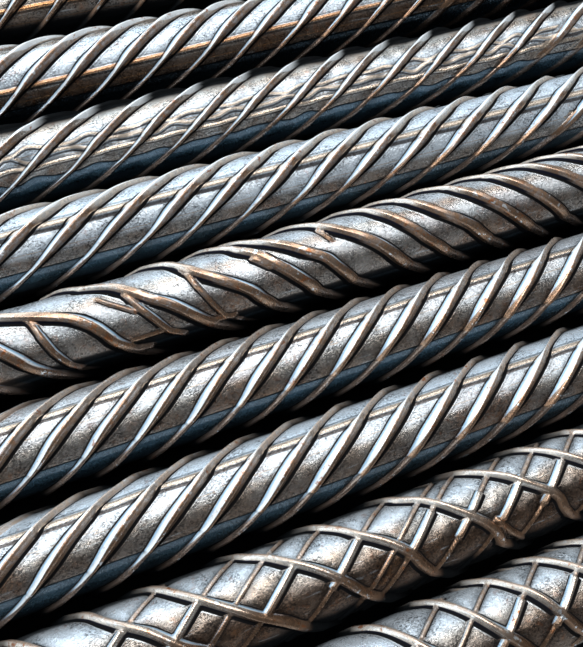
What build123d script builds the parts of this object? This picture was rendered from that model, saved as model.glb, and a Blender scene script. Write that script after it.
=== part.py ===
from build123d import *
import math
import os

# Bundle of hot-rolled ribbed steel bars, 20 mm nominal, held by two steel straps.
# Millimetres, +Z up. The bars run along X and the bundle lies on its straps at Z = 0.

# Bar: the plain solid is as thick as the real bar is over its ribs
BAR_LENGTH = 1200.0
BAR_OVER_RIBS = 22.6
BAR_CLEARANCE = 0.2

# Stack: rows from the floor up, each one bar longer than the next one outwards
ROW_NAMES = ("bottom", "lower", "middle", "upper", "top")
MIDDLE_ROW_BARS = 11

# Bar ends: cut by a shear, a little out of square, its blade rolling one edge over
SHEAR_TILT = 3.5
ROLLED_EDGE_TILT = 38.0
ROLLED_EDGE_DEPTH = 2.2

# Lie of the bars: slipped lengthways by up to END_STAGGER, and each turned from the last
END_STAGGER = 4.0
SLIP_ANGLE_PER_ROW = 120.0
SLIP_ANGLE_PER_BAR = 97.0
TURN_PER_ROW = 57.0
TURN_PER_BAR = 137.5

# Straps: one turn of flat steel each, its ends lapped on top and drawn tight
STRAP_WIDTH = 32.0
STRAP_THICKNESS = 0.9
STRAP_FROM_END = 200.0
STRAP_CLEARANCE = 0.1
STRAP_EASE_RADIUS = 90.0
LAP_RUN_OUT = 8.0
LOWER_TAIL = 22.0
UPPER_TAIL = 14.0

# Seals: a C of sheet steel closed round both ends of the strap, then notched
SEAL_LENGTH = 57.0
SEAL_WALL = 1.0
SEAL_SIDE_CLEARANCE = 0.3
SEAL_BEND_RADIUS = 0.5
SEAL_SLOT = 7.0
NOTCHES_PER_EDGE = 2
NOTCH_PITCH = 24.0
NOTCH_DEPTH = 4.5
NOTCH_MOUTH = 9.0
NOTCH_ROOT = 5.0

# Each bar lies in the hollow between two below, so three axes make an equal-sided triangle
bar_radius = BAR_OVER_RIBS / 2
bar_pitch = BAR_OVER_RIBS + BAR_CLEARANCE
row_height = bar_pitch * math.sin(math.radians(60))
rows_each_side = len(ROW_NAMES) // 2

# Levels, from the floor up
strap_step = STRAP_THICKNESS + STRAP_CLEARANCE
bottom_axis_z = strap_step + bar_radius
bars_top_z = bottom_axis_z + (len(ROW_NAMES) - 1) * row_height + bar_radius
lap_lower_z = bars_top_z + 2 * STRAP_CLEARANCE + SEAL_WALL + STRAP_THICKNESS / 2
lap_upper_z = lap_lower_z + strap_step
lap_middle_z = (lap_lower_z + lap_upper_z) / 2
strap_radius = bar_radius + STRAP_CLEARANCE + STRAP_THICKNESS / 2


def bars_in_row(row):
    """How many bars lie in a row, by the row's number from the middle."""
    return MIDDLE_ROW_BARS - abs(row)


def off_middle(row, place):
    """Pitches from a row's middle to a bar; place 0 is the row's bar furthest towards +Y."""
    return (bars_in_row(row) - 1) / 2 - place


def bar_axis(row, place):
    """Point on a bar's axis, halfway along the bundle."""
    rows_up = row + rows_each_side
    return Vector(0, off_middle(row, place) * bar_pitch, bottom_axis_z + rows_up * row_height)


def end_plane(side, turn, tilt, setback):
    """Plane across a bar's end, leaning by tilt towards the angle turn round the bar."""
    lean = math.radians(tilt)
    sideways = side * math.sin(lean)
    normal = (side * math.cos(lean), sideways * math.cos(turn), sideways * math.sin(turn))
    return Plane(origin=(side * (BAR_LENGTH / 2 - setback), 0, 0), z_dir=normal)


def make_bar(row, place):
    """One bar: a round, sheared at both ends and slipped a little along the bundle."""
    turn = math.radians(TURN_PER_BAR * place + TURN_PER_ROW * row)
    slip_angle = math.radians(SLIP_ANGLE_PER_ROW * row + SLIP_ANGLE_PER_BAR * off_middle(row, place))
    rolled_reach = bar_radius * math.tan(math.radians(ROLLED_EDGE_TILT))
    bar = Cylinder(bar_radius, BAR_LENGTH + 4 * bar_radius, rotation=(0, 90, 0))
    for side in (-1, 1):
        sheared = end_plane(side, turn, SHEAR_TILT, 0)
        rolled = end_plane(side, turn, ROLLED_EDGE_TILT, ROLLED_EDGE_DEPTH - rolled_reach)
        for plane in (sheared, rolled):
            bar = split(bar, bisect_by=plane, keep=Keep.BOTTOM)
    slip = Vector(END_STAGGER * math.sin(slip_angle), 0, 0)
    return Pos(bar_axis(row, place) + slip) * bar


def heading(angle):
    """Direction in the YZ plane, in radians from +Y towards +Z."""
    return Vector(0, math.cos(angle), math.sin(angle))


def tangent_from(point, centre, side):
    """Line from a point that touches the strap's circle round a corner bar on its outer side."""
    towards = centre - point
    slope = math.atan2(towards.Z, towards.Y)
    return point, heading(slope + side * math.asin(strap_radius / towards.length))


def crossing(line_a, line_b):
    """Point where two lines in the YZ plane cross."""
    (start_a, along_a), (start_b, along_b) = line_a, line_b
    gap = start_b - start_a
    spread = along_a.Y * along_b.Z - along_a.Z * along_b.Y
    return start_a + along_a * ((gap.Y * along_b.Z - gap.Z * along_b.Y) / spread)


def strap_route():
    """Middle line of a strap, from its lower tail once round the corner bars to its upper tail."""
    going_down = [(row, bars_in_row(row) - 1) for row in (rows_each_side, 0, -rows_each_side)]
    going_up = [(row, 0) for row in (-rows_each_side, 0, rows_each_side)]
    corners = [bar_axis(row, place) for row, place in going_down + going_up]

    lower_tip = Vector(0, SEAL_LENGTH / 2 + LOWER_TAIL, lap_lower_z)
    lower_exit = Vector(0, -SEAL_LENGTH / 2 - LAP_RUN_OUT, lap_lower_z)
    upper_entry = Vector(0, SEAL_LENGTH / 2 + LOWER_TAIL + LAP_RUN_OUT, lap_upper_z)
    upper_tip = Vector(0, -SEAL_LENGTH / 2 - UPPER_TAIL, lap_upper_z)

    lines = [tangent_from(lower_exit, corners[0], -1)]
    for start, end in zip(corners, corners[1:]):
        run = (end - start).normalized()
        outwards = Vector(0, run.Z, -run.Y)
        lines.append((start + outwards * strap_radius, run))
    lines.append(tangent_from(upper_entry, corners[-1], 1))

    bends = [crossing(before, after) for before, after in zip(lines, lines[1:])]
    points = [lower_tip, lower_exit, *bends, upper_entry, upper_tip]
    radii = [STRAP_EASE_RADIUS, *[strap_radius] * len(bends), STRAP_EASE_RADIUS]
    return FilletPolyline(*points, radius=radii)


def notch_cutters(x):
    """Wedges that notch both edges of a seal, and of the strap ends inside it."""
    edge = STRAP_WIDTH / 2 + SEAL_SIDE_CLEARANCE + SEAL_WALL
    mouth_x = edge + SEAL_WALL
    root_x = edge - NOTCH_DEPTH
    reach = 2 * STRAP_THICKNESS + 4 * SEAL_WALL
    cutters = []
    for number in range(NOTCHES_PER_EDGE):
        y = (number - (NOTCHES_PER_EDGE - 1) / 2) * NOTCH_PITCH
        for side in (-1, 1):
            outline = Polyline(
                (side * mouth_x, y - NOTCH_MOUTH / 2),
                (side * mouth_x, y + NOTCH_MOUTH / 2),
                (side * root_x, y + NOTCH_ROOT / 2),
                (side * root_x, y - NOTCH_ROOT / 2),
                close=True,
            )
            wedge = extrude(make_face(outline), amount=reach / 2, both=True, dir=(0, 0, 1))
            cutters.append(Pos(x, 0, lap_middle_z) * wedge)
    return cutters


def make_strap(x):
    """One strap: flat steel carried along its route, and notched where the seal holds it."""
    route = strap_route()
    section_plane = Plane(origin=route @ 0, x_dir=(1, 0, 0), z_dir=route % 0)
    band = sweep(section_plane * Rectangle(STRAP_WIDTH, STRAP_THICKNESS), path=route)
    return Pos(x, 0, 0) * band - notch_cutters(x)


def make_seal(x):
    """One seal: a flattened C of sheet, open underneath, and notched with the strap."""
    inner_width = STRAP_WIDTH + 2 * SEAL_SIDE_CLEARANCE
    inner_height = 2 * STRAP_THICKNESS + 3 * STRAP_CLEARANCE
    outer_width = inner_width + 2 * SEAL_WALL
    outer_height = inner_height + 2 * SEAL_WALL
    outer = RectangleRounded(outer_width, outer_height, SEAL_BEND_RADIUS + SEAL_WALL)
    inner = RectangleRounded(inner_width, inner_height, SEAL_BEND_RADIUS)
    slot = Pos(0, -outer_height / 2) * Rectangle(SEAL_SLOT, outer_height - inner_height)
    tube = extrude(Plane.XZ * (outer - inner - slot), amount=SEAL_LENGTH / 2, both=True)
    return Pos(x, 0, lap_middle_z) * tube - notch_cutters(x)


os.makedirs("parts", exist_ok=True)

for number, row_name in enumerate(ROW_NAMES):
    row = number - rows_each_side
    for place in range(bars_in_row(row)):
        export_step(make_bar(row, place), f"parts/bar_{row_name}_{place + 1}.step")

strap_x = BAR_LENGTH / 2 - STRAP_FROM_END
for name, x in (("left", -strap_x), ("right", strap_x)):
    export_step(make_strap(x), f"parts/strap_{name}.step")
    export_step(make_seal(x), f"parts/strap_seal_{name}.step")
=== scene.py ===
import math

import bpy
import numpy as np
from mathutils import Matrix, Vector


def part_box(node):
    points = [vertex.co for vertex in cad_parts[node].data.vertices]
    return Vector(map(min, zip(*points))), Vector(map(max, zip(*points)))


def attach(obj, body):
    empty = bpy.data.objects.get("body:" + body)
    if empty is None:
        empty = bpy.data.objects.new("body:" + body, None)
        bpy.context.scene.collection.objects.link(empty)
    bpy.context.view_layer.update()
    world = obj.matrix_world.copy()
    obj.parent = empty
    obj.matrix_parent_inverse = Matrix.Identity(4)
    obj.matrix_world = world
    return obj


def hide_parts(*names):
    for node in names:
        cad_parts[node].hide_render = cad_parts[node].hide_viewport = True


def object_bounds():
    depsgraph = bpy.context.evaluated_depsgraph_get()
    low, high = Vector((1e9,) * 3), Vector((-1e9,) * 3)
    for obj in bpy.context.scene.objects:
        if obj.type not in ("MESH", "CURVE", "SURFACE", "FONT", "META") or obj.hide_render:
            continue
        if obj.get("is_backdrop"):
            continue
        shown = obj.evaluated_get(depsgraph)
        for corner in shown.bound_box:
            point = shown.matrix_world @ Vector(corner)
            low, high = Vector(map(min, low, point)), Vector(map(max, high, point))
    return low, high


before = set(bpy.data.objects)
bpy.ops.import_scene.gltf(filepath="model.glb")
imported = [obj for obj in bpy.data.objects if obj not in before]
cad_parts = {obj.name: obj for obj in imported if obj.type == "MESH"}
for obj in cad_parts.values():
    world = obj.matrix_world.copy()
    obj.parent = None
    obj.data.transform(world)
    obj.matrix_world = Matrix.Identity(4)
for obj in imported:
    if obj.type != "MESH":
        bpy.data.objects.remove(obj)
cad_low, cad_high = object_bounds()

# Top row of bars.
# Each is hot-rolled steel: a round core with raised ribs that the last pair of grooved rolls
# pressed into it, cut to length by a shear. Angles run round a bar from straight up towards +Y.
MM = 0.001
CORE_RADIUS = 9.65 * MM
RIB_ROOM = 0.03 * MM
SHEAR_TILT = math.radians(3.5)
ROLLED_TILT = math.radians(38)
ROLLED_DEPTH = 2.2 * MM
TURN_PER_ROW = 57.0
TURN_PER_BAR = 137.5

low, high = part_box("bar_top_5")
full_radius = float(high[2] - low[2]) / 2
bar_half = float(high[0] - low[0]) / 2 - full_radius * math.tan(SHEAR_TILT)


def smooth(t):
    """Runs from 0 to 1 as t does, level at both ends: three t squared less two t cubed."""
    t = np.clip(t, 0, 1)
    return t * t * (3 - 2 * t)


def wrap(angle):
    """The same angle between minus and plus half a turn."""
    return (angle + math.pi) % (2 * math.pi) - math.pi


def ripple(seed, along, angle, wave, count=7):
    """Smooth unevenness within about -1 to 1: a sum of sines, each a whole number of turns
    round the bar and of a random length near wave along it."""
    rng = np.random.default_rng(seed)
    total = 0
    for _ in range(count):
        turns = rng.integers(0, 5)
        length = wave * rng.uniform(0.6, 1.8) * rng.choice([-1, 1])
        total = total + np.sin(2 * math.pi * along / length + turns * angle + rng.uniform(0, 6.3))
    return total / count * 1.4


# Past this angle a rib turns back, so that it meets itself underneath, where nothing shows
HIDDEN_FROM = math.radians(112)


def fold(angle):
    """A rib's lay round the bar: the angle itself over the upper side, then back beneath."""
    angle = wrap(angle)
    back = (math.pi - np.abs(angle)) * HIDDEN_FROM / (math.pi - HIDDEN_FROM)
    return np.where(np.abs(angle) < HIDDEN_FROM, angle, np.sign(angle) * back)


def even_ribs(start, pitch, lay, seed):
    """Routes of parallel ribs: rib number times pitch, plus lay times the folded angle, plus a
    slight ripple."""
    reach = bar_half + 3 * pitch
    number = np.arange(math.floor((-reach - start) / pitch), math.ceil((reach - start) / pitch))[:, None]

    def route(angle):
        at = start + number * pitch + lay * fold(angle)[None, :]
        return at + 0.25 * MM * ripple(seed, at, angle[None, :], 31 * MM)
    return route


def drawn_ribs(angles, places, pitch, lay, seed):
    """Routes of ribs that wander: a cubic through where each crosses a few angles, carried on
    to both ends of the bar by evenly laid ribs, plus a slight ripple."""
    angles = np.radians(angles)
    places = np.array(places) * MM
    mean = places.mean(axis=1)
    before = math.ceil((mean[0] + bar_half) / pitch) + 2
    after = math.ceil((bar_half - mean[-1]) / pitch) + 2
    spread = lay * (angles - angles.mean())
    rng = np.random.default_rng(seed)
    rows = [mean[0] - pitch * (n + rng.uniform(-0.1, 0.1)) + spread for n in range(before, 0, -1)]
    rows += list(places)
    rows += [mean[-1] + pitch * (n + rng.uniform(-0.1, 0.1)) + spread for n in range(1, after + 1)]
    rows = np.array(rows)
    tangent = np.gradient(rows, angles, axis=1)

    def route(angle):
        folded = fold(angle)
        inside = np.clip(folded, angles.min(), angles.max())
        k = np.clip(np.searchsorted(angles, inside, side="right") - 1, 0, len(angles) - 2)
        gap = angles[k + 1] - angles[k]
        t = (inside - angles[k]) / gap
        value = (1 + 2 * t) * (1 - t) ** 2 * rows[:, k] + t * (1 - t) ** 2 * gap * tangent[:, k]
        value = value + t * t * (3 - 2 * t) * rows[:, k + 1] - t * t * (1 - t) * gap * tangent[:, k + 1]
        value = value + lay * (folded - inside)
        return value + 0.15 * MM * ripple(seed, value, angle[None, :], 23 * MM)
    return route


# Half-widths over which a rib marks the round beside it, the least rise that marks it, and what
# across holds where no rib does, on the closely and on the widely spaced stretches of a bar
BESIDE = 2.1
LEAST_RISE = 0.15 * MM
NO_RIB_NEAR = 4.0
NO_RIB_FAR = 12.0


class Relief:
    """What stands out of a bar's round at each point of its grid. rib is 0 on the round and 1 on
    a crest; across is the place across the nearest rib, 0 on its middle, 1 at its foot on the
    +Y side and -1 at the other foot; clear is the distance to the nearest foot; thin is 1 on a
    branch and 2 on a faint one."""

    def __init__(self, shape, no_rib):
        self.height = np.zeros(shape)
        self.rib = np.zeros(shape)
        self.across = np.full(shape, no_rib)
        self.clear = np.full(shape, 1.0)
        self.thin = np.zeros(shape)

    def add(self, off, lit_width, shade_width, crest, rise, thin=0.0):
        """Lays a rib over what is there: level on the crest, a smooth fall to each foot."""
        width = np.where(off > 0, lit_width, shade_width)
        share = off / width
        section = smooth((1 - np.abs(share)) / (1 - crest))
        over = section * rise > self.height
        beside = (self.rib == 0) & (np.abs(share) < BESIDE) & (np.abs(share) < np.abs(self.across))
        mine = over | beside & (rise > LEAST_RISE)
        self.height = np.maximum(self.height, section * rise)
        self.rib = np.where(over, section, self.rib)
        self.across = np.where(mine, np.clip(share, -NO_RIB_NEAR, NO_RIB_NEAR), self.across)
        self.thin = np.where(mine, thin, self.thin)
        past = np.maximum(np.abs(off) - width, 0) + 1.0 * (rise < LEAST_RISE)
        self.clear = np.minimum(self.clear, past)


def across_ribs(spec, x, angle):
    """Distance from each grid point to the middle of its nearest rib, positive on the +Y side."""
    routes = spec["ribs"](angle)
    nearest = np.zeros(x.shape, int)
    best = np.full(x.shape, 1.0)
    for number, route in enumerate(routes):
        gap = np.abs(x - route[None, :])
        nearest = np.where(gap < best, number, nearest)
        best = np.minimum(gap, best)
    at = np.take_along_axis(routes, nearest, axis=0)
    slope = np.take_along_axis(np.gradient(routes, angle, axis=1), nearest, axis=0) / full_radius
    return (at - x) / np.sqrt(1 + slope ** 2) * math.copysign(1, spec["lay"])


def across_line(line, x, angle):
    """Distance from a low rib drawn between two points of the unrolled surface, positive on its
    +Y side, and how much of its height is left past its ends."""
    ends = np.array(line[:2])
    ends = ends[np.argsort(ends[:, 1])]
    start = np.array([ends[0, 0] * MM, math.radians(ends[0, 1]) * CORE_RADIUS])
    run = np.array([ends[1, 0] * MM, math.radians(ends[1, 1]) * CORE_RADIUS]) - start
    length = math.hypot(*run)
    run = run / length
    off_x, off_y = x - start[0], angle * CORE_RADIUS - start[1]
    along = off_x * run[0] + off_y * run[1]
    past = np.maximum(-along, along - length)
    rising = math.copysign(1, run[0])
    return (off_y * run[0] - off_x * run[1]) * rising, smooth(1 - past / (0.8 * MM))


# Winding: where a bar is turned just as it lies, the unit that twist is given for, and how many
# of these are wound to either side
WIND_FROM = 30 * MM
WIND_UNIT = 100 * MM
WIND_SPAN = (-1.2, 1.4)


def wound(spec, x):
    """How far a bar is turned at x: as it lies, and wound evenly through its middle."""
    return spec["lie"] + spec["twist"] * np.clip((x - WIND_FROM) / WIND_UNIT, *WIND_SPAN)


def rib_size(spec, x, turned, side):
    """Half-widths of the ribs towards +Y and towards -Y, and their height: the spec's own, with
    a ripple, narrowed down both sides of the bar, and lower away from the crest of the bar."""
    even = 1 + 0.1 * ripple(spec["seed"] + 1, x, turned, 17 * MM)
    lower, upper = smooth((-5 - side) / 45), smooth((side - 15) / 30)
    lit = spec["lit"] * even * (1 - spec["taper"] * lower) * (1 - spec["top_taper"] * upper)
    shade = spec["shade"] * even * (1 - 0.7 * spec["taper"] * smooth((-15 - side) / 40))
    shade = shade * (1 - 0.8 * spec["top_taper"] * upper)
    from_row = np.minimum(np.abs(side + 3), 180 - np.abs(side))
    rise = spec["height"] * (0.95 + 0.05 * ripple(spec["seed"] + 2, x, turned, 9 * MM))
    return lit, shade, rise * (1 - spec["fall"] * smooth((from_row - 26) / 34))


def rolled_relief(spec, angle, x, turned, side, no_rib):
    """A bar's ribs, with its branches laid over them."""
    relief = Relief(x.shape, no_rib)
    lit, shade, rise = rib_size(spec, x, turned, side)
    relief.add(across_ribs(spec, x, angle), lit, shade, spec["crest"], rise)
    for line in spec["thin"]:
        off, left = across_line(line, x, turned)
        half, height = line[2:]
        relief.add(off, half * MM, half * 0.9 * MM, 0.2, height * MM * left, 1.0 if half > 0.8 else 2.0)
    return relief


def add_ridges(spec, relief, x, turned, sway):
    """Lays the low ridges along a bar over its relief, each rounded and swaying from side to
    side, and gives the place across the nearest one: 0 on its middle, 1 at its +Y edge."""
    ridge = np.full(x.shape, 4.0)
    for number, (at, half, top) in enumerate(spec["ridges"]):
        swing = sway * math.cos(2.5 * number)
        line = np.clip((wrap(turned - math.radians(at)) * CORE_RADIUS + swing) / half, -4, 4)
        top = top * (1 + 0.25 * ripple(spec["seed"] + 3, x, turned, 21 * MM))
        relief.height = np.maximum(relief.height, top * smooth(1.1 - np.abs(line)))
        ridge = np.where(np.abs(line) < np.abs(ridge), line, ridge)
    return ridge


# Round: the step down to the scaled underside, and the groove's depth, place and width
STEP_DEPTH = 0.2 * MM
GROOVE_DEPTH = 0.12 * MM
GROOVE_PLACE = 0.1 * MM
GROOVE_WIDTH = 0.3 * MM
SWELL_LENGTH = 3 * MM


def round_body(spec, relief, x, turned, side, under):
    """Radius of the round between the ribs, and its lumps: the core's radius less the step down
    to the scaled underside and the groove at a rib's foot, plus a swell, lumps and a slow wave."""
    groove = np.exp(-((relief.clear - GROOVE_PLACE) / GROOVE_WIDTH) ** 2) * (relief.rib < 0.5)
    body = CORE_RADIUS - STEP_DEPTH * smooth(0.5 + under) - GROOVE_DEPTH * groove
    body = body + spec["pillow"] * smooth(relief.clear / SWELL_LENGTH)
    lumps = ripple(spec["seed"] + 4, x, spec["lump_turns"] * turned, 8 * MM, 12)
    clumped = spec["clumps"] * np.exp(-((side + 20) / 18) ** 2)
    body = body + spec["lumps"] * lumps * (1 + clumped)
    return body + 0.05 * MM * ripple(spec["seed"] + 5, x, turned, 60 * MM), lumps


def shut_away(spec, relief, x, turned, side, lumps):
    """How black the painted shade makes a point, 0 to 1: the side that faces away from the open, the
    hollows of a crumpled seam, and the inner length of a bar shut in by its neighbours."""
    off_open = np.abs(np.degrees(wrap(turned + wound(spec, x) - math.radians(spec["open"][0]))))
    # Painted black shade on the side away from the open, reaching further on rib crests.
    deep = smooth((off_open - spec["open"][1] - spec["reach"] * relief.rib) / 18)
    # Painted shade in the hollows of a crumpled seam.
    crease = smooth((-lumps - 0.25) / 0.25) * spec["clumps"] * np.exp(-((side + 23) / 11) ** 2)
    deep = np.maximum(deep, 0.2 * crease * (relief.rib < 0.5))
    # Painted black along the inner length of a bar shut in by its neighbours.
    from_end = bar_half - np.abs(x - spec["middle"][0])
    return np.maximum(deep, spec["shut"] * smooth((from_end - 25 * MM) / (30 * MM)))


def worn_places(spec, relief, x, side):
    """Where the finish is rubbed, and where light and shade are painted on: painted highlights along rib
    edges, a silver painted sheen and a band of painted highlight, tops rubbed and painted lighter, the
    strength of the painted shadow line under ribs, and painted shade in the corners and down the -Y side;
    each a smooth run from 0 to 1 round the bar, and fainter on the faint branches."""
    faint = relief.thin > 1.5
    highest, lowest, strength = (
        np.where(relief.thin > 0, branch, rib) for rib, branch in zip(spec["blade"], spec["thin_blade"])
    )
    lowest = lowest + 0.3 * np.clip(x / MM, -40, 90)
    # Painted highlight along the +Y edges of ribs, fading above the highest and below the lowest angle,
    # and widened on top.
    blade = (0.45 + 0.55 * smooth((highest - side) / 45)) * smooth((side - lowest) / 45) * strength
    blade = (blade + spec["crown"] * smooth((side - 2) / 25)) * (1 - 0.6 * faint)
    # Silver painted sheen over the top, and a band of painted highlight round the bar.
    above = smooth((side - spec["above"][0]) / spec["above"][1]) * spec["shine"]
    bottom, top, soft, strength = spec["glow"]
    above = np.maximum(above, smooth((side - bottom) / soft) * smooth((top - side) / soft) * strength)
    # Rib tops painted lighter on the upper side: rubbed, and a painted highlight.
    wear = smooth((side - spec["wear"][0]) / spec["wear"][1]) * spec["wear"][2] * (1 - 0.7 * faint)
    # Strength of the painted shadow line under ribs and of the painted highlight line beside it.
    line = smooth((side - spec["line"][0]) / spec["line"][1]) * (1 - 0.5 * relief.thin)
    # Painted shade in the corners beside the feet of ribs.
    near = smooth(1 - relief.clear / (1.8 * MM)) * spec["cell"] * (relief.rib < 0.1)
    # Painted shade in brown down the -Y side.
    low = smooth((spec["low"][0] - side) / spec["low"][1]) * spec["low"][2]
    return {"blade": blade, "above": above + 0 * x, "wear": wear, "line": line, "near": near,
            "low": low + 0 * x}


# Blue-black underside, partly scale and partly painted shade: how far it reaches round, in radians, how
# much of the ridges' sway its edge takes, and what puts it out of reach; then the share of the painted
# corner shade kept in the wide corners of widely spaced stretches
UNDER_REACH = 1.9
EDGE_SWAY = 0.6
NO_SCALE = 8
FAR_SOOT = 0.4


def bar_surface(spec, angle, x, feet):
    """One bar's surface on its grid of columns x and rows angle, with what its finish reads:
    the radius of the round plus the height of the relief, kept inside the plain bar."""
    turned = np.broadcast_to(angle[None, :], x.shape)
    side = np.degrees(wrap(turned))
    relief = rolled_relief(spec, angle, x, turned, side, NO_RIB_FAR if feet.any() else NO_RIB_NEAR)
    sway = spec["sway"] * ripple(spec["seed"] + 6, x, 0 * turned, spec["sway_wave"])
    ridge = add_ridges(spec, relief, x, turned, sway)
    step = wrap(turned - math.radians(spec["step"]))
    under = np.minimum(-step, step + UNDER_REACH) * CORE_RADIUS + EDGE_SWAY * sway
    under = under / spec["fade"] - NO_SCALE * spec["scaled"]
    body, lumps = round_body(spec, relief, x, turned, side, under)
    surface = worn_places(spec, relief, x, side)
    # Less painted shade in the corners where columns are far apart.
    surface["near"] = surface["near"] * (FAR_SOOT if feet.any() else 1.0)
    surface.update({
        "x": x, "angle": turned.copy(), "foot": feet[:, None] + 0 * x, "cut": 0 * x,
        "radius": np.minimum(body + relief.height, full_radius - RIB_ROOM),
        "rib": relief.rib, "across": relief.across, "ridge": ridge, "under": np.clip(under, -4, 8),
        "deep": shut_away(spec, relief, x, turned, side, lumps), "amber": spec["amber"] + 0 * x,
    })
    return surface


# Grid of a bar: columns at these millimetres from a rib's middle where the photo looks, and
# elsewhere; the angle up to which rows are close; columns from the last rib to the cut end
FINE_OFFSETS = (-2.1, -1.75, -1.4, -1.05, -0.7, -0.35, 0.0, 0.35, 0.7, 1.05, 1.4, 1.8)
COARSE_OFFSETS = (-1.4, -0.4, 0.4, 1.5)
SEEN_TO = math.radians(80)
END_COLUMNS = 30
END_ROOM = 40 * MM


def ring_rows(spec):
    """Angles of a bar's grid: an even set, opened up round each line that runs along the bar."""
    rows = np.arange(spec["rows"]) / spec["rows"] * 2 * math.pi - math.pi
    lines = [(at, half / CORE_RADIUS) for at, half, top in spec["ridges"][:1]]
    if spec["fade"] < 2 * MM:
        lines.append((spec["step"], 0.5 * spec["fade"] / CORE_RADIUS))
    for at, half in lines:
        at = math.radians(at)
        rows = rows[np.abs(wrap(rows - at)) > half * 1.5]
        rows = np.append(rows, [at - half * 0.8, at, at + half])
    return np.sort(rows)


def rib_columns(spec, rows, span, offsets, fills):
    """X of the grid's columns over a span: some at set offsets from each rib's route, then some
    that share out the gap to the next rib."""
    routes = spec["ribs"](rows)
    middle = routes.mean(axis=1)
    keep = np.nonzero((middle >= span[0]) & (middle < span[1]))[0]
    wide = math.sqrt(1 + (spec["lay"] / full_radius) ** 2)
    offsets = np.array(offsets) * MM * wide
    if spec["lay"] < 0:
        offsets = -offsets[::-1]
    here, after = routes[keep], routes[keep + 1]
    near = here[:, None, :] + offsets[None, :, None]
    gap = after + offsets[0] - here - offsets[-1]
    share = (np.arange(fills) + 1) / (fills + 1)
    between = (here + offsets[-1])[:, None, :] + gap[:, None, :] * share[None, :, None]
    return np.concatenate([near, between], axis=1).reshape(-1, len(rows))


def rib_feet(count, fills):
    """A number of its own for each column along a rib's foot, and 0 for the others."""
    number = np.arange(count)
    place = number % (len(COARSE_OFFSETS) + fills)
    return np.where((place == 0) | (place == len(COARSE_OFFSETS) - 1), number + 1.0, 0.0)


def sheared_face(side, middle, radius, angle, turn):
    """X of a cut end: a plane leaning SHEAR_TILT, met by the plane of the rolled-over edge."""
    lean = radius * np.cos(angle - turn)
    square = middle + side * bar_half
    flat = square - lean * math.tan(SHEAR_TILT)
    reach = full_radius * math.tan(ROLLED_TILT) - ROLLED_DEPTH
    rolled = square + side * reach - lean * math.tan(ROLLED_TILT)
    return np.minimum(flat, rolled) if side > 0 else np.maximum(flat, rolled)


def end_columns(spec, rows, last, side):
    """Columns from the last rib's to the cut end, closing up evenly on it."""
    rim = sheared_face(side, spec["middle"][0], CORE_RADIUS, rows + wound(spec, side), spec["turn"])
    share = (np.arange(END_COLUMNS) + 1) / END_COLUMNS
    return last + (rim - last) * share[:, None]


# Cut end: how far its rim is blunted along the bar and across it, the depth of its torn middle,
# and the share of the radius that each of its rings has
BLUNT_ALONG = 0.4 * MM
BLUNT_ACROSS = 0.35 * MM
TEAR_DEPTH = 0.1 * MM
RING_SHARES = (1.0, 0.985, 0.94, 0.8, 0.6, 0.35, 0.12)


def cut_end(spec, stretch, side):
    """A stretch with its cut end added: a slightly blunted rim, then rings in to the middle."""
    shrink = np.array(RING_SHARES)[:, None]
    edge = 0 if side < 0 else -1
    angle = stretch["angle"][edge]
    lifted = angle + wound(spec, side)
    rim = sheared_face(side, spec["middle"][0], stretch["radius"][edge], lifted, spec["turn"])
    stretch["x"][edge] = rim - side * BLUNT_ALONG
    radius = stretch["radius"][edge] * shrink - BLUNT_ACROSS * (shrink == 1)
    angle = np.broadcast_to(angle, radius.shape)
    face = sheared_face(side, spec["middle"][0], radius, angle + wound(spec, side), spec["turn"])
    tear = TEAR_DEPTH * (1.4 - ripple(spec["seed"] + 8, radius * 3, angle, 4 * MM)) * (shrink < 0.97)
    flat = np.zeros(radius.shape)
    rings = {key: flat for key in stretch}
    rings.update(x=face - side * tear, radius=radius, angle=angle, cut=flat + 1)
    if side < 0:
        return {key: np.concatenate([rings[key][::-1], stretch[key]]) for key in stretch}
    return {key: np.concatenate([stretch[key], rings[key]]) for key in stretch}


def bar_stretches(spec):
    """A bar's grid, as stretches end to end of row angles, column places and rib feet, with the
    middle one fine where the spec has a window, and how many close rows fill each wide gap."""
    rows = ring_rows(spec)
    middle = spec["middle"]
    left_end, right_end = middle[0] - bar_half + END_ROOM, middle[0] + bar_half - END_ROOM
    window = spec["window"] or (0, 0)
    left_span = (left_end, min(window[0], left_end + spec["ribbed"]))
    right_span = (max(window[1], right_end - spec["ribbed"]), right_end)
    left = rib_columns(spec, rows, left_span, COARSE_OFFSETS, spec["far_fill"])
    right = rib_columns(spec, rows, right_span, COARSE_OFFSETS, spec["far_fill"])
    no_feet = np.zeros(END_COLUMNS)
    left_feet = np.concatenate([no_feet, rib_feet(len(left), spec["far_fill"])])
    right_feet = np.concatenate([rib_feet(len(right), spec["far_fill"]), no_feet])
    left = np.concatenate([end_columns(spec, rows, left[0], -1)[::-1], left])
    right = np.concatenate([right, end_columns(spec, rows, right[-1], 1)])
    if not spec["window"]:
        return [(rows, np.concatenate([left, right]), np.concatenate([left_feet, right_feet]))], None
    gaps = np.diff(np.append(rows, rows[0] + 2 * math.pi))
    seen = np.abs(wrap(rows + gaps / 2)) < SEEN_TO
    splits = np.where(seen, spec["fine"], 1)
    close = np.concatenate([a + g * np.arange(n) / n for a, g, n in zip(rows, gaps, splits)])
    near = rib_columns(spec, close, window, FINE_OFFSETS, spec["fill"])
    return [(rows, left, left_feet), (close, near, np.zeros(len(near))), (rows, right, right_feet)], splits


def strips(grid):
    """Faces of a grid of point numbers that closes round the bar."""
    after = np.roll(grid, -1, axis=1)
    return np.stack([grid[:-1], grid[1:], after[1:], after[:-1]], -1).reshape(-1, 4).tolist()


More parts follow.
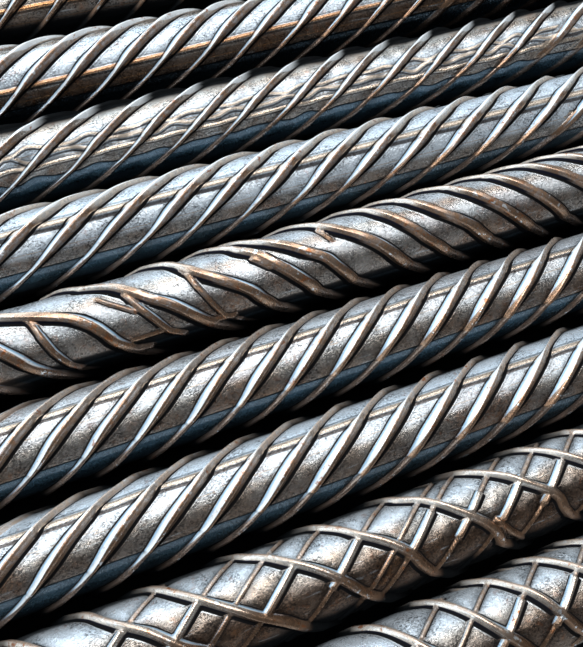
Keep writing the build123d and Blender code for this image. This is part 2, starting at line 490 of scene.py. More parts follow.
def seam(coarse, fine, splits, coarse_first):
    """Faces between a ring of points and one with splits points for each of its gaps."""
    ends = np.concatenate([[0], np.cumsum(splits)])
    ring = np.append(fine, fine[0])
    faces = []
    for gap, ahead in enumerate(np.roll(coarse, -1)):
        many = ring[ends[gap]:ends[gap + 1] + 1].tolist()
        face = [coarse[gap], *many, ahead]
        faces.append(face if coarse_first else face[::-1])
    return faces


def bar_faces(shapes, splits):
    """Point numbers of each stretch, and the bar's faces: strips, seams between the stretches,
    and a fan over each end to one more point in its middle."""
    faces, grids, start = [], [], 0
    for count, around in shapes:
        grids.append(start + np.arange(count * around).reshape(count, around))
        faces += strips(grids[-1])
        start += count * around
    if splits is not None:
        faces += seam(grids[0][-1], grids[1][0], splits, True)
        faces += seam(grids[2][0], grids[1][-1], splits, False)
    first, last = grids[0][0], grids[-1][-1]
    faces += [[a, b, start] for a, b in zip(np.roll(first, -1), first)]
    faces += [[a, b, start + 1] for a, b in zip(last, np.roll(last, -1))]
    return grids, faces


def ribbed_bar(node, spec):
    """One bar that stands for a plain one: its stretches joined, its ends cut, and each point
    set at its radius and angle round the plain bar's axis."""
    box_low, box_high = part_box(node)
    spec["middle"] = (np.array(box_low) + np.array(box_high)) / 2
    middle = spec["middle"]
    stretches, splits = bar_stretches(spec)
    parts = [bar_surface(spec, *stretch) for stretch in stretches]
    parts[0] = cut_end(spec, parts[0], -1)
    parts[-1] = cut_end(spec, parts[-1], 1)
    grids, faces = bar_faces([part["x"].shape for part in parts], splits)

    flat = {key: np.concatenate([part[key].reshape(-1) for part in parts]) for key in parts[0]}
    lifted = flat["angle"] + wound(spec, flat["x"])
    points = np.stack([flat["x"], middle[1] + flat["radius"] * np.sin(lifted),
                       middle[2] + flat["radius"] * np.cos(lifted)], -1)
    tips = [points[grids[0][0]].mean(axis=0), points[grids[-1][-1]].mean(axis=0)]
    mesh = bpy.data.meshes.new(f"ribbed_{node}")
    mesh.from_pydata(np.concatenate([points, tips]), [], faces)
    mesh.polygons.foreach_set("use_smooth", np.ones(len(mesh.polygons), bool))
    pairs = np.empty(2 * len(mesh.edges), np.int32)
    mesh.edges.foreach_get("vertices", pairs)
    foot = np.append(flat["foot"], [0.0, 0.0])[pairs].reshape(-1, 2)
    mesh.edges.foreach_set("use_edge_sharp", (foot[:, 0] > 0) & (foot[:, 0] == foot[:, 1]))
    for key in FINISH_READS:
        values = np.append(flat[key], [1.0, 1.0] if key == "cut" else [0.0, 0.0])
        mesh.attributes.new(key, "FLOAT", "POINT").data.foreach_set("value", values.astype(np.float32))
    piece = bpy.data.objects.new(f"ribbed_{node}", mesh)
    bpy.context.scene.collection.objects.link(piece)
    mesh.materials.append(steel_finish)
    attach(piece, "root")
    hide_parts(node)


class Finish:
    """A procedural material under way, with short ways to add the nodes it is made of."""

    def __init__(self, name):
        self.material = bpy.data.materials.new(name)
        self.material.use_nodes = True
        self.nodes = self.material.node_tree.nodes
        self.links = self.material.node_tree.links
        self.shader = self.nodes["Principled BSDF"]
        self.place = self.nodes.new("ShaderNodeTexCoord").outputs["Object"]

    def attribute(self, key):
        """A value stored at the mesh's points."""
        node = self.nodes.new("ShaderNodeAttribute")
        node.attribute_name = key
        return node.outputs["Fac"]

    def noise(self, scale, detail, stretch=(1, 1, 1), rough=0.6):
        """Noise in the object's own coordinates, from about 0.3 to 0.7."""
        mapping = self.nodes.new("ShaderNodeMapping")
        mapping.inputs["Scale"].default_value = stretch
        self.links.new(self.place, mapping.inputs["Vector"])
        node = self.nodes.new("ShaderNodeTexNoise")
        node.inputs["Scale"].default_value = scale
        node.inputs["Detail"].default_value = detail
        node.inputs["Roughness"].default_value = rough
        self.links.new(mapping.outputs["Vector"], node.inputs["Vector"])
        return node.outputs["Fac"]

    def ramp(self, source, start, end, out_start=0.0, out_end=1.0):
        """A smooth change from out_start to out_end as the source goes from start to end."""
        node = self.nodes.new("ShaderNodeMapRange")
        node.interpolation_type = "SMOOTHSTEP"
        values = {"From Min": start, "From Max": end, "To Min": out_start, "To Max": out_end}
        for key, value in values.items():
            node.inputs[key].default_value = value
        self.links.new(source, node.inputs["Value"])
        return node.outputs["Result"]

    def maths(self, kind, *values):
        """One sum: each value is a number or another node's output."""
        node = self.nodes.new("ShaderNodeMath")
        node.operation = kind
        for number, value in enumerate(values):
            if isinstance(value, (int, float)):
                node.inputs[number].default_value = value
            else:
                self.links.new(value, node.inputs[number])
        return node.outputs[0]

    def fold_up(self, kind, values):
        """The values joined one after the other by the same kind of sum."""
        total = values[0]
        for value in values[1:]:
            total = self.maths(kind, total, value)
        return total

    def times(self, *values):
        """The product of several values."""
        return self.fold_up("MULTIPLY", values)

    def plus(self, *values):
        """The sum of several values."""
        return self.fold_up("ADD", values)

    def most(self, *values):
        """The largest of several values."""
        return self.fold_up("MAXIMUM", values)

    def band(self, source, start, end, soft):
        """1 from start to end and 0 outside, over a soft edge."""
        rising = self.ramp(source, start - soft, start)
        return self.times(rising, self.ramp(source, end, end + soft, 1.0, 0.0))

    def blend(self, amount, a, b):
        """Colour a where the amount is 0 and b where it is 1."""
        node = self.nodes.new("ShaderNodeMix")
        node.data_type = "RGBA"
        self.links.new(amount, node.inputs["Factor"])
        for key, value in (("A", a), ("B", b)):
            socket = [s for s in node.inputs if s.name == key and s.type == "RGBA"][0]
            if isinstance(value, tuple):
                socket.default_value = (*value, 1)
            else:
                self.links.new(value, socket)
        return [s for s in node.outputs if s.type == "RGBA"][0]

    def bump(self, height, strength, distance):
        """Fine relief of the shading alone."""
        node = self.nodes.new("ShaderNodeBump")
        node.inputs["Distance"].default_value = distance
        if isinstance(strength, float):
            node.inputs["Strength"].default_value = strength
        else:
            self.links.new(strength, node.inputs["Strength"])
        self.links.new(height, node.inputs["Height"])
        self.links.new(node.outputs["Normal"], self.shader.inputs["Normal"])

    def surface(self, colour, roughness, metallic):
        """Joins colour, roughness and metal share to the shader."""
        self.links.new(colour, self.shader.inputs["Base Color"])
        self.links.new(roughness, self.shader.inputs["Roughness"])
        if isinstance(metallic, float):
            self.shader.inputs["Metallic"].default_value = metallic
        else:
            self.links.new(metallic, self.shader.inputs["Metallic"])


# What a bar's mesh tells its finish, and the colours of rolled steel: bare and fresh cut, a silver painted
# sheen, worn steel with painted highlights, a blue painted highlight, tan for tops rubbed and painted
# lighter, sand and amber painted highlights, pink, warm, rusty, bronze and brown, brown painted shade,
# dark painted shade beside ridges, blue-black partly scale and partly painted shade, a navy painted
# shadow, soot with painted shade, and black painted shade
FINISH_READS = (
    "rib", "across", "ridge", "under", "deep", "above", "wear", "line", "low", "blade", "near", "amber",
    "cut",
)
STEEL = (0.55, 0.53, 0.50)
FRESH_CUT = (0.40, 0.39, 0.375)
SILVER = (0.74, 0.86, 0.98)
WORN = (0.86, 0.92, 0.97)
FRINGE = (0.26, 0.53, 0.79)
TAN = (0.78, 0.72, 0.65)
SAND = (0.72, 0.58, 0.45)
PINK = (0.46, 0.31, 0.22)
AMBER = (0.62, 0.31, 0.13)
WARM = (0.50, 0.32, 0.19)
RUST = (0.36, 0.13, 0.045)
BRONZE = (0.31, 0.19, 0.12)
BROWN = (0.27, 0.125, 0.055)
SHADE_BROWN = (0.15, 0.09, 0.057)
SEAM_BROWN = (0.04, 0.022, 0.014)
SCALE = (0.047, 0.088, 0.118)
NAVY = (0.008, 0.009, 0.018)
SOOT = (0.008, 0.008, 0.009)
BLACK = (0.005, 0.006, 0.007)


def body_colour(f, read):
    """The round: steel with warm patches, brown painted shade down the -Y side, stained, a silver painted
    sheen over the top, with sooty grain, pits and a few bright scratches along the bar."""
    colour = f.blend(f.times(f.ramp(f.noise(130, 5), 0.45, 0.62), 0.38), STEEL, WARM)
    # Painted shade in brown down the -Y side.
    colour = f.blend(read["low"], colour, SHADE_BROWN)
    stains = f.times(f.ramp(f.noise(55, 4), 0.5, 0.64), f.ramp(f.noise(900, 4), 0.4, 0.6, 0.4, 1.0))
    colour = f.blend(f.times(stains, 0.6), colour, BROWN)
    # Silver painted sheen on top and a band of painted highlight.
    colour = f.blend(read["above"], colour, SILVER)
    grain = f.ramp(f.noise(3000, 3, (0.6, 1, 1), 0.75), 0.49, 0.57)
    soil = f.ramp(f.plus(f.noise(190, 4), f.times(read["low"], 0.1)), 0.42, 0.6)
    colour = f.blend(f.times(grain, soil, 0.8), colour, SOOT)
    pits = f.times(f.ramp(f.noise(1500, 3), 0.6, 0.66), f.ramp(f.noise(120, 3), 0.5, 0.6))
    colour = f.blend(f.times(pits, 0.8), colour, SOOT)
    scratches = f.ramp(f.noise(1500, 2, (0.06, 1, 1)), 0.64, 0.7)
    return f.blend(f.times(scratches, 0.4), colour, WORN)


def rib_colour(f, read, colour):
    """The ribs over the round: bronze sides turning tan where rubbed and painted lighter on top, a pink
    crest, brown painted shade on the -Y flank, a painted highlight along the side that the blade reaches,
    rust specks and painted glints, and a navy painted shadow line and a pale painted highlight line along
    the -Y foot. Gives the colour, the painted highlight, the painted shade on the flank and the painted
    shadow line."""
    rib, across = read["rib"], read["across"]
    rib_side = f.times(f.ramp(rib, 0.0, 0.12), f.ramp(f.noise(900, 4), 0.42, 0.56, 0.7, 1.0))
    # Rib sides bronze, tan where rubbed and painted lighter on the upper side.
    colour = f.blend(rib_side, colour, f.blend(read["wear"], BRONZE, TAN))
    crest = f.times(f.ramp(f.maths("ABSOLUTE", across), 0.5, 0.15), read["line"], 0.7)
    colour = f.blend(crest, colour, PINK)
    # Painted shade in brown on the -Y flank of each rib.
    under_side = f.times(f.ramp(across, -0.5, -0.95), f.ramp(rib, 0.0, 0.1))
    colour = f.blend(f.times(under_side, 0.6), colour, SHADE_BROWN)
    # Painted highlight, white to blue, along the +Y side of each rib.
    edge = f.maths("SUBTRACT", across, f.maths("SUBTRACT", 0.88, f.times(read["blade"], 0.78)))
    bright = f.times(f.ramp(edge, 0.0, 0.14), f.ramp(across, 1.0, 0.86), f.ramp(rib, 0.0, 0.08))
    bright = f.times(bright, f.ramp(read["blade"], 0.0, 0.5))
    colour = f.blend(bright, colour, f.blend(f.ramp(across, 0.6, 0.9), WORN, FRINGE))
    specks = f.times(f.ramp(f.noise(700, 3), 0.58, 0.66), f.ramp(f.noise(60, 2), 0.46, 0.58))
    colour = f.blend(f.times(specks, f.ramp(rib, 0.1, 0.7, 0.3, 0.9)), colour, RUST)
    # Painted shade in brown on ribs down the -Y side.
    colour = f.blend(f.times(read["low"], f.ramp(rib, 0.1, 0.3), 0.2), colour, SHADE_BROWN)
    # Painted glints on the crests.
    glints = f.times(f.ramp(f.noise(760, 3), 0.6, 0.64), f.ramp(rib, 0.6, 0.9))
    glints = f.times(glints, f.ramp(f.noise(90, 2), 0.44, 0.56))
    colour = f.blend(f.times(glints, 0.8), colour, WORN)
    # Painted shadow line under the -Y side of ribs.
    navy_line = f.times(f.band(across, -1.25, -0.8, 0.1), f.ramp(read["line"], 0.0, 0.6))
    colour = f.blend(navy_line, colour, NAVY)
    # Pale painted highlight line on the round beside the -Y foot.
    plain = f.ramp(rib, 0.3, 0.1)
    rim_line = f.times(f.band(across, -1.75, -1.5, 0.1), f.ramp(read["line"], 0.3, 0.9), plain)
    return f.blend(f.times(rim_line, 0.8), colour, WORN), bright, under_side, navy_line


def lengthways_colour(f, read, colour, bright):
    """What runs along the bar between its ribs: each ridge with a painted highlight and painted shade
    along either side, then the blue-black underside, partly scale and partly painted shade, with painted
    shade along its step and a painted highlight below. Gives the colour and the painted shade along the
    step."""
    ridge, under = read["ridge"], read["under"]
    plain = f.ramp(read["rib"], 0.3, 0.1)
    # Painted highlight along each ridge, and painted shade along either side of it.
    pale_line = f.times(f.band(ridge, -0.3, 0.75, 0.25), plain)
    brown_line = f.times(f.band(ridge, -1.1, -0.65, 0.2), plain)
    far_line = f.times(f.band(ridge, 1.15, 1.4, 0.2), plain)
    colour = f.blend(f.times(pale_line, 0.85), colour, f.blend(read["amber"], SAND, AMBER))
    colour = f.blend(f.times(brown_line, 0.85), colour, SEAM_BROWN)
    colour = f.blend(f.times(far_line, 0.6), colour, SOOT)
    # Blue-black underside: partly scale and partly painted shade, with the painted highlights on ribs
    # showing through.
    scaled = f.times(f.ramp(under, -0.3, 0.1), f.ramp(read["rib"], 0.0, 0.1, 1.0, 0.35))
    colour = f.blend(f.times(scaled, f.ramp(bright, 0.0, 1.0, 1.0, 0.2)), colour, SCALE)
    # Painted shade along the step to the underside.
    lip = f.times(f.band(under, -0.15, 0.15, 0.2), plain)
    colour = f.blend(f.times(lip, 0.9), colour, SOOT)
    # A band of painted highlight just below the step.
    return f.blend(f.times(f.band(under, 0.9, 2.0, 0.8), plain, 0.16), colour, SILVER), lip


def rolled_steel(name):
    """Hot-rolled steel: worn bright on ribs with painted highlights, browned on the body, blue-black
    beneath, partly scale and partly painted shade, painted shade along the foot of each rib, painted black
    where shut away, and bare on the cut ends."""
    f = Finish(name)
    read = {key: f.attribute(key) for key in FINISH_READS}
    rib, across = read["rib"], read["across"]
    colour, bright, under_side, navy_line = rib_colour(f, read, body_colour(f, read))
    colour, lip = lengthways_colour(f, read, colour, bright)

    # Painted shade along the feet of ribs, beside them, and in the corners between them.
    foot = f.most(f.band(across, 1.0, 1.2, 0.06), f.band(across, -1.55, -0.98, 0.1))
    foot = f.times(foot, f.ramp(rib, 0.4, 0.05))
    shadow = f.times(f.ramp(f.maths("ABSOLUTE", across), BESIDE, 1.0), f.ramp(rib, 0.4, 0.05), 0.25)
    colour = f.blend(f.most(foot, shadow, read["near"]), colour, SOOT)
    # Painted black shade where the bar is shut away.
    colour = f.blend(read["deep"], colour, BLACK)
    colour = f.blend(read["cut"], colour, FRESH_CUT)
    # Where shade is painted, the steel is also made rough and nearly without reflection.
    dirty = f.most(foot, f.times(lip, 0.9), navy_line, read["deep"])
    dirty = f.times(dirty, f.maths("SUBTRACT", 1.0, read["cut"]))
    clean = f.maths("SUBTRACT", 1.0, f.times(dirty, 0.95))

    rough = f.plus(f.ramp(f.noise(900, 5), 0.3, 0.7, 0.18, 0.32), f.times(bright, -0.04))
    rough = f.plus(rough, f.times(under_side, 0.15), f.times(dirty, 0.4))
    # Painted highlights and the painted sheen get a matte share that keeps them light.
    dull = f.plus(f.times(bright, 0.6), f.times(f.ramp(rib, 0.0, 0.1), 0.1), f.times(read["above"], 0.5))
    metal = f.times(f.maths("SUBTRACT", 0.93, f.maths("MINIMUM", dull, 0.85)), clean)
    f.surface(colour, rough, metal)
    f.links.new(f.times(clean, 0.5), f.shader.inputs["Specular IOR Level"])
    height = f.plus(f.noise(1900, 6, rough=0.7), f.times(f.noise(350, 4), 0.7))
    f.bump(height, f.maths("SUBTRACT", 0.7, f.times(f.ramp(rib, 0.0, 0.3), 0.45)), 0.00025)
    return f.material


steel_finish = rolled_steel("rolled_steel")

# A bar of the usual kind. Where a value is a run, it starts at the first angle in degrees,
# takes the second to build up, and reaches the third.
PLAIN_BAR = {
    # Ribs: half-widths towards +Y and -Y, level share of a half-width, height, how much narrower
    # and lower down the sides, and branches as two ends, a half-width and a height
    "lit": 1.6 * MM, "shade": 1.3 * MM, "crest": 0.2, "height": 1.6 * MM,
    "taper": 0.6, "top_taper": 0.55, "fall": 0.25, "thin": (),
    # Low ridges as angle, half-width and height, with their sway and its length, and the tint of the
    # painted highlight along them
    "ridges": (), "sway": 0.15 * MM, "sway_wave": 15 * MM, "amber": 0.0,
    # Blue-black underside, partly scale and partly painted shade: the angle it starts at, the width of its
    # edge, and 1 for a bar without it
    "step": -48, "fade": 0.7 * MM, "scaled": 0,
    # Round: its lumps, how they crowd round the bar and at a seam, and its swell between ribs
    "lumps": 0.03 * MM, "lump_turns": 1, "clumps": 0.0, "pillow": 0.0,
    # Lie: the angle it is turned by, and how far it is wound through its middle
    "lie": 0.0, "twist": 0.0,
    # Grid: rows, close rows for each, columns between ribs, the fine stretch, and the ribbed length
    "rows": 20, "fine": 5, "fill": 6, "far_fill": 1, "window": (-42 * MM, 128 * MM), "ribbed": 2.0,
    # Painted shade: middle and half-width of the open side, past which the bar is painted black, how much
    # further crests reach into the painted black, 1 for a bar painted black along its shut-in length, and
    # the painted shade in the corners between ribs
    "open": (13, 57), "reach": 7, "shut": 0.0, "cell": 0.2,
    # Painted highlights along the edges of ribs and of branches as highest angle, lowest angle and
    # strength, how much wider they are on top, and the runs of tops rubbed and painted lighter and of the
    # painted shadow line under ribs
    "blade": (46, -66, 1.0), "thin_blade": (46, -66, 1.0), "crown": 0.0,
    "wear": (4, 26, 0.5), "line": (95, 5),
    # Painted light and shade of the round: the run and strength of the silver painted sheen on top, a band
    # of painted highlight as bottom, top, edge and strength, and the run of brown painted shade down the
    # -Y side
    "above": (90, 5), "shine": 0.4, "glow": (0, 1, 1, 0.0), "low": (-2, 45, 0.5),
}


def slant(start, pitch, lay, seed, **changes):
    """A bar of even ribs that climb to the right as seen from above, in mm and mm a radian."""
    ribs = even_ribs(start * MM, pitch * MM, lay * MM, seed)
    return {**PLAIN_BAR, "ribs": ribs, "lay": lay * MM, "seed": seed, **changes}


def drawn(angles, places, pitch, lay, seed, **changes):
    """A bar of ribs drawn one by one that climb to the left, in mm and mm a radian."""
    ribs = drawn_ribs(angles, places, pitch * MM, lay * MM, seed)
    return {**PLAIN_BAR, "ribs": ribs, "lay": lay * MM, "seed": seed, "taper": 0.0, **changes}


# Bar 5's ribs lean the other way and wander: places in mm where each crosses these angles
WANDER_ANGLES = (-60, -45, -30, -15, 0, 15, 30, 45)
WANDER_RIBS = (
    (-20.0, -22.7, -24.9, -27.5, -30.0, -33.0, -37.0, -41.0),
    (-1.8, -4.2, -6.0, -8.3, -12.0, -18.2, -26.0, -33.0),
    (17.5, 14.9, 12.3, 9.2, 5.2, 1.8, -2.0, -8.0),
    (32.2, 30.0, 27.9, 24.6, 20.8, 17.3, 14.6, 12.2),
    (43.8, 42.0, 39.7, 37.2, 34.5, 32.0, 28.5, 25.8),
    (53.1, 51.3, 49.4, 47.2, 43.3, 39.6, 35.5, 31.5),
    (67.3, 65.0, 62.8, 60.2, 57.0, 53.5, 50.0, 47.0),
    (78.6, 76.2, 73.5, 71.2, 68.8, 66.4, 63.7, 61.0),
    (90.2, 87.8, 85.5, 82.3, 78.8, 76.0, 73.4, 71.0),
    (102.5, 100.0, 97.3, 94.5, 91.5, 88.8, 86.0, 83.5),
    (113.0, 111.0, 108.6, 106.0, 103.2, 100.5, 98.0, 95.5),
)
WANDER_BRANCHES = (
    ((-20.5, 16), (-18.8, -12), 0.9, 0.9), ((-18.8, -12), (-17.3, -35), 1.0, 1.0),
    ((-17.3, -35), (-15.0, -59), 1.0, 1.0), ((-15.0, -59), (-13.0, -70), 0.9, 0.9),
    ((-5.4, 18), (-3.5, 8), 0.6, 0.4), ((-3.5, 8), (1.2, -12), 0.6, 0.4),
    ((0.5, 12), (3.0, -12), 0.9, 0.9), ((3.0, -12), (5.4, -31), 1.0, 1.0),
    ((5.4, -31), (7.7, -53), 1.0, 1.0), ((7.7, -53), (11.0, -64), 0.9, 0.9),
    ((12.7, 38), (15.0, 18), 0.6, 0.6), ((15.0, 18), (16.2, -3), 0.7, 0.6),
    ((16.2, -3), (18.5, -31), 0.7, 0.55), ((18.5, -31), (20.4, -53), 0.7, 0.55),
    ((16.5, -56), (23.0, -59), 0.8, 0.8), ((-1.5, -62), (3.0, -68), 0.9, 1.1),
    ((0.0, -51), (6.0, -50), 0.6, 0.4), ((20.4, -53), (24.5, -70), 0.7, 0.7),
    ((30.5, 12), (33.5, -4), 0.9, 0.9), ((48.0, 30), (50.0, 8), 0.6, 0.4),
)

# Bars 8 and 9 are rolled with crossing ribs: thick ones one way and thin ones the other
CROSS_ANGLES = (-45, -30, -15, 0, 15, 30, 45, 60)
CROSS_RIBS = (
    (-2.0, -4.5, -8.0, -11.2, -14.4, -18.1, -21.3, -23.8),
    (14.0, 11.0, 7.0, 3.4, -0.2, -3.7, -7.0, -9.8),
    (30.0, 27.8, 25.7, 23.0, 19.7, 16.0, 12.5, 8.5),
    (43.9, 42.2, 40.8, 38.6, 35.5, 31.8, 28.8, 25.7),
    (60.8, 60.3, 58.8, 56.3, 53.3, 50.3, 47.2, 43.2),
    (78.3, 77.0, 76.3, 73.8, 70.5, 67.6, 64.3, 61.0),
    (93.0, 91.5, 90.0, 88.0, 85.0, 82.0, 79.5, 76.5),
)
CORNER_RIBS = (
    (47.0, 44.6, 42.4, 39.6, 36.8, 34.6, 32.4, 30.2),
    (58.6, 56.6, 54.6, 52.4, 50.2, 48.2, 46.2, 44.2),
    (70.4, 68.4, 66.8, 65.2, 63.6, 61.6, 59.0, 56.6),
    (84.0, 82.0, 80.2, 78.4, 76.6, 74.4, 72.0, 69.4),
)
CROSS_LAY = 0.205


def crossing_ribs(starts, lowest, highest):
    """Thin ribs that cross the thick ones, some of them thicker over the upper side: three runs
    end to end, each at its start plus CROSS_LAY millimetres a degree."""
    lines = []
    for start, heavy in starts:
        at = [(start + CROSS_LAY * angle, angle) for angle in (lowest, -14, 24, highest)]
        lines.append((at[0], at[1], 0.5, 0.5))
        lines.append((at[1], at[2], 1.0 if heavy else 0.5, 1.2 if heavy else 0.4))
        lines.append((at[2], at[3], 0.5, 0.5))
    return lines


CROSS_STARTS = (
    (-24.0, True), (-8.7, True), (1.7, False), (11.6, True), (25.9, True), (37.6, False),
    (43.0, True), (54.7, True), (65.2, True), (75.6, True), (90.0, True),
)
CROSS_HOOK = [((61.0, -14), (63.5, -36), 0.9, 1.0), ((63.5, -36), (66.0, -51), 0.9, 0.9)]
CORNER_STARTS = ((30.0, True), (42.0, False), (54.0, True), (67.0, True), (80.0, True))
CROSSED_BAR = {
    "lit": 1.3 * MM, "shade": 1.25 * MM, "crest": 0.3, "top_taper": 0.2, "step": -76, "fade": 5 * MM,
    "lumps": 0.05 * MM, "pillow": 0.3 * MM, "fine": 10, "above": (16, 24), "shine": 0.8, "cell": 0.6,
    "wear": (-14, 30, 1.0), "line": (-14, 30), "blade": (90, -45, 0.4), "thin_blade": (60, -50, 0.7),
}

TOP_BARS = (
    slant(2.0, 12.7, 12.6, 10, ridges=[(-36, 0.8 * MM, 0.5 * MM)], amber=1.0, step=-72, open=(52, 96),
          window=(-30 * MM, 75 * MM)),
    slant(0.2, 12.35, 14.3, 11, ridges=[(-34, 0.8 * MM, 0.45 * MM)], amber=1.0, step=-62, twist=0.2,
          window=(-30 * MM, 118 * MM), open=(-15, 65), low=(-34, 12, 0.9), glow=(-40, 30, 14, 0.9),
          blade=(90, -88, 1.0), crown=1.2, wear=(4, 16, 0.9)),
    slant(-2.5, 13.1, 15.0, 12, lit=1.2 * MM, shade=1.0 * MM, step=-52,
          ridges=[(-24, 0.7 * MM, 0.5 * MM), (-12, 0.6 * MM, 0.35 * MM), (-36, 0.6 * MM, 0.35 * MM)],
          sway=1.3 * MM, sway_wave=8 * MM, lumps=0.19 * MM, lump_turns=3, clumps=3.0, fine=8, fill=14,
          open=(-31, 48), low=(-34, 20, 0.6), glow=(-42, 14, 18, 0.85), blade=(90, -80, 1.0), crown=1.4,
          wear=(4, 14, 1.0)),
    slant(-3.8, 12.7, 14.7, 13, ridges=[(1, 1.3 * MM, 0.75 * MM)], step=-53, twist=-0.1, open=(-5, 65),
          above=(4, 4), shine=1.0, low=(-25, 30, 0.5), glow=(-40, 8, 10, 0.85), blade=(60, -80, 1.0),
          crown=0.9, wear=(4, 10, 1.0)),
    drawn(WANDER_ANGLES, WANDER_RIBS, 12, -12, 14, thin=WANDER_BRANCHES, lit=1.6 * MM, shade=1.5 * MM,
          crest=0.45, top_taper=0.4, step=-60, fade=4 * MM, lumps=0.13 * MM, fine=7, fill=24,
          open=(15, 70), reach=14, cell=0.4, above=(14, 24), shine=0.8, glow=(-30, 20, 22, 0.5),
          blade=(90, -70, 0.5), thin_blade=(90, -70, 0.4), wear=(8, 30, 1.0), line=(-20, 30)),
    slant(3.2, 11.25, 12.3, 15, ridges=[(24, 1.0 * MM, 0.45 * MM)], step=-41, twist=0.02, open=(-4, 60),
          above=(24, 4), shine=0.6, low=(-14, 20, 0.6), glow=(-14, 30, 12, 0.5), crown=0.5),
    slant(10.5, 11.75, 12.8, 16, ridges=[(30, 1.1 * MM, 0.5 * MM)], step=-38, twist=-0.05, open=(-3, 58),
          above=(30, 4), shine=1.0, low=(0, 32, 0.65), glow=(-8, 36, 12, 0.6), crown=0.5),
    drawn(CROSS_ANGLES, CROSS_RIBS, 15, -11, 17, **CROSSED_BAR,
          thin=crossing_ribs(CROSS_STARTS, -75, 80) + CROSS_HOOK,
          fill=36, open=(11, 46), reach=3, low=(22, 40, 0.94)),
    drawn(CROSS_ANGLES, CORNER_RIBS, 12.5, -9.5, 18, **CROSSED_BAR,
          thin=crossing_ribs(CORNER_STARTS, -60, 90),
          fill=28, window=(0, 95 * MM), open=(-39, 108), low=(26, 40, 0.9)),
)


def sheared_turn(row, place):
    """The way a bar's cut ends lean, from straight up towards +Y, by its row and its place."""
    return math.pi / 2 - math.radians(TURN_PER_BAR * place + TURN_PER_ROW * row)


for place, spec in enumerate(TOP_BARS):
    spec["turn"] = sheared_turn(2, place)
    ribbed_bar(f"bar_top_{place + 1}", spec)

# Rows beneath the top one.
# The same bars, lying in the hollows of the row below. Those on the outside are open to the side
# or below and ribbed all along; the ones shut inside show only their ends, so only those are.
INNER_RIBBED = 45 * MM

for row_name, row in (("upper", 1), ("middle", 0), ("lower", -1), ("bottom", -2)):
    count = len([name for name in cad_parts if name.startswith(f"bar_{row_name}_")])
    for place in range(count):
        seed = 100 * (row + 3) + place
        rng = np.random.default_rng(seed)
        hand = rng.choice([-1, 1], p=[0.3, 0.7])
        spec = slant(rng.uniform(0, 12), rng.uniform(11.6, 12.8), hand * rng.uniform(11.5, 14), seed)
        outer = place in (0, count - 1)
        out = 90 if place == 0 else -90
        lie = math.radians(out) + rng.uniform(-0.4, 0.4) if outer else rng.uniform(0, 2 * math.pi)
        spec.update(window=None, far_fill=0, rows=16, turn=sheared_turn(row, place), lie=lie, scaled=1)
        # Away from its open side each bar is painted black as shade; the inner bars above the bottom row
        # are open all round but painted black along their length, away from the ends.
        if row == -2:
            spec["open"] = (math.copysign(125, out), 85) if outer else (180, 50)
        elif outer:
            spec["open"] = (out, 60)
        else:
            spec.update(ribbed=INNER_RIBBED, open=(0, 180), shut=1.0)
        ribbed_bar(f"bar_{row_name}_{place + 1}", spec)

# Straps.
# Cold-rolled steel strip, blued and waxed, drawn tight round the bundle, with its slit edges
# rubbed bright where the tensioner and the bars have scuffed it.
STRAP_HALF = 16 * MM
BLUED = (0.035, 0.042, 0.058)
BLUED_SPOTS = (0.05, 0.035, 0.028)
SCUFFED = (0.30, 0.29, 0.28)


def strip_steel(name, body, edge, spots, metallic, rough):
    """Steel strip: drawn scratches, cloudy finish, and a rubbed line along both edges."""
    f = Finish(name)
    split = f.nodes.new("ShaderNodeSeparateXYZ")
    f.links.new(f.place, split.inputs["Vector"])
    strap_x = float(abs(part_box("strap_left")[0][0])) - STRAP_HALF
    off_middle = f.maths("ABSOLUTE", f.maths("SUBTRACT", f.maths("ABSOLUTE", split.outputs["X"]), strap_x))
    near_edge = f.plus(off_middle, f.times(f.noise(300, 3), 1.2 * MM))
    rubbed = f.ramp(near_edge, STRAP_HALF - 0.2 * MM, STRAP_HALF + 0.5 * MM)
    drawn_lines = f.noise(2200, 2, (1, 0.03, 0.03))
    cloud = f.noise(90, 4)
    colour = f.blend(f.ramp(cloud, 0.35, 0.65, 0, 0.35), body, spots)
    colour = f.blend(f.ramp(drawn_lines, 0.6, 0.66, 0, 0.6), colour, edge)
    colour = f.blend(rubbed, colour, edge)
    f.surface(colour, f.ramp(cloud, 0.3, 0.7, rough, rough + 0.15), metallic)
    f.bump(drawn_lines, 0.25, 0.0001)
    return f.material


def dress(node, finish):
    """Gives a plain piece its finish."""
    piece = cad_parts[node]
    piece.data.materials.clear()
    piece.data.materials.append(finish)


strap_finish = strip_steel("blued_strip", BLUED, SCUFFED, BLUED_SPOTS, 0.75, 0.30)
dress("strap_left", strap_finish)
dress("strap_right", strap_finish)

# Seals.
# A C of zinc-coated sheet round both ends of each strap, closed and notched with a hand tool.
# The zinc is dull and cloudy, and rubbed a little brighter down its bent sides.
ZINC = (0.34, 0.345, 0.35)
ZINC_EDGE = (0.45, 0.45, 0.45)
ZINC_SPOTS = (0.22, 0.22, 0.225)
seal_finish = strip_steel("zinc_sheet", ZINC, ZINC_EDGE, ZINC_SPOTS, 0.8, 0.45)
dress("strap_seal_left", seal_finish)
dress("strap_seal_right", seal_finish)

# Stage: a plain pale floor, soft lamps above and behind the bundle with weaker ones to the left
# and in front, and the photo's viewpoint.
FLOOR_SIZE = 20
bpy.ops.mesh.primitive_plane_add(size=FLOOR_SIZE)
floor = bpy.context.object
floor.name = "floor"
floor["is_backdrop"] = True
pale = bpy.data.materials.new("pale_floor")
pale.use_nodes = True
pale.node_tree.nodes["Principled BSDF"].inputs["Base Color"].default_value = (0.6, 0.6, 0.59, 1)
pale.node_tree.nodes["Principled BSDF"].inputs["Roughness"].default_value = 0.8
floor.data.materials.append(pale)

lit_point = Vector((0.03, 0, float(cad_high[2])))


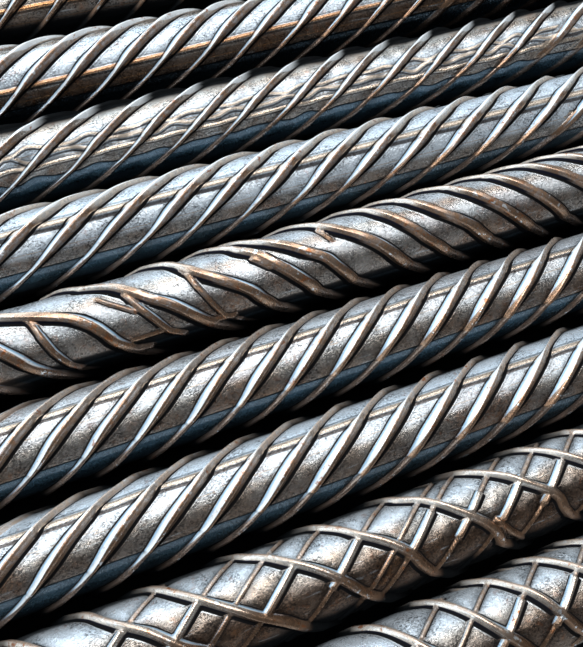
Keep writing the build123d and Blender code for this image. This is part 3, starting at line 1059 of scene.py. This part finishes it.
def softbox(name, place, size, watts, colour, spread=180):
    """A soft rectangular lamp that faces the top of the bundle; a spread in degrees below 180
    fades it aside."""
    lamp = bpy.data.lights.new(name, "AREA")
    lamp.shape = "RECTANGLE"
    lamp.size, lamp.size_y = size
    lamp.spread = math.radians(spread)
    lamp.energy = watts
    lamp.color = colour
    holder = bpy.data.objects.new(name, lamp)
    holder.location = place
    holder.rotation_euler = (lit_point - Vector(place)).to_track_quat("-Z", "Y").to_euler()
    bpy.context.scene.collection.objects.link(holder)


softbox("softbox_above", (0.03, 0.95, 2.0), (1.75, 0.9), 43, (1.0, 0.985, 0.96))
softbox("softbox_behind", (-0.86, 3.43, 1.1), (7.8, 1.9), 62, (0.76, 0.90, 1.0), 100)
softbox("softbox_left", (-1.9, 0.35, 1.2), (1.3, 0.8), 6.5, (0.80, 0.92, 1.0), 120)
softbox("softbox_front", (0.3, -2.4, 0.5), (3.6, 0.8), 3.6, (0.75, 0.88, 1.0), 110)

world = bpy.data.worlds.new("studio")
bpy.context.scene.world = world
world.use_nodes = True
world.node_tree.nodes["Background"].inputs["Color"].default_value = (0.62, 0.64, 0.67, 1)
world.node_tree.nodes["Background"].inputs["Strength"].default_value = 0.18

# Viewpoint: found from the edges of the bars in the photo, 583 by 647 pixels. The camera turns
# away from the bars' direction, looks down, rolls, and stands off the middle top bar's axis.
LENS_PIXELS = 700
LONG_SIDE = 647
SENSOR = 36
SWING, DIP, ROLL = -39.178, 19.802, 20.271
BACK, UP = 57.05 * MM, 158.33 * MM
axis = (Vector(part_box("bar_top_5")[0]) + Vector(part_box("bar_top_5")[1])) / 2
camera_data = bpy.data.cameras.new("camera")
camera_data.sensor_width = SENSOR
camera_data.lens = SENSOR * LENS_PIXELS / LONG_SIDE
camera_data.clip_start = 0.01
camera = bpy.data.objects.new("camera", camera_data)
swing = Matrix.Rotation(math.radians(SWING), 4, "Z")
dip = Matrix.Rotation(math.radians(DIP), 4, "X")
roll = Matrix.Rotation(math.radians(ROLL), 4, "Z")
camera.matrix_world = Matrix.Translation((0, axis.y - BACK, axis.z + UP)) @ swing @ dip @ roll
bpy.context.scene.collection.objects.link(camera)
bpy.context.scene.camera = camera
bpy.context.scene.view_settings.view_transform = "Standard"

low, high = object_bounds()
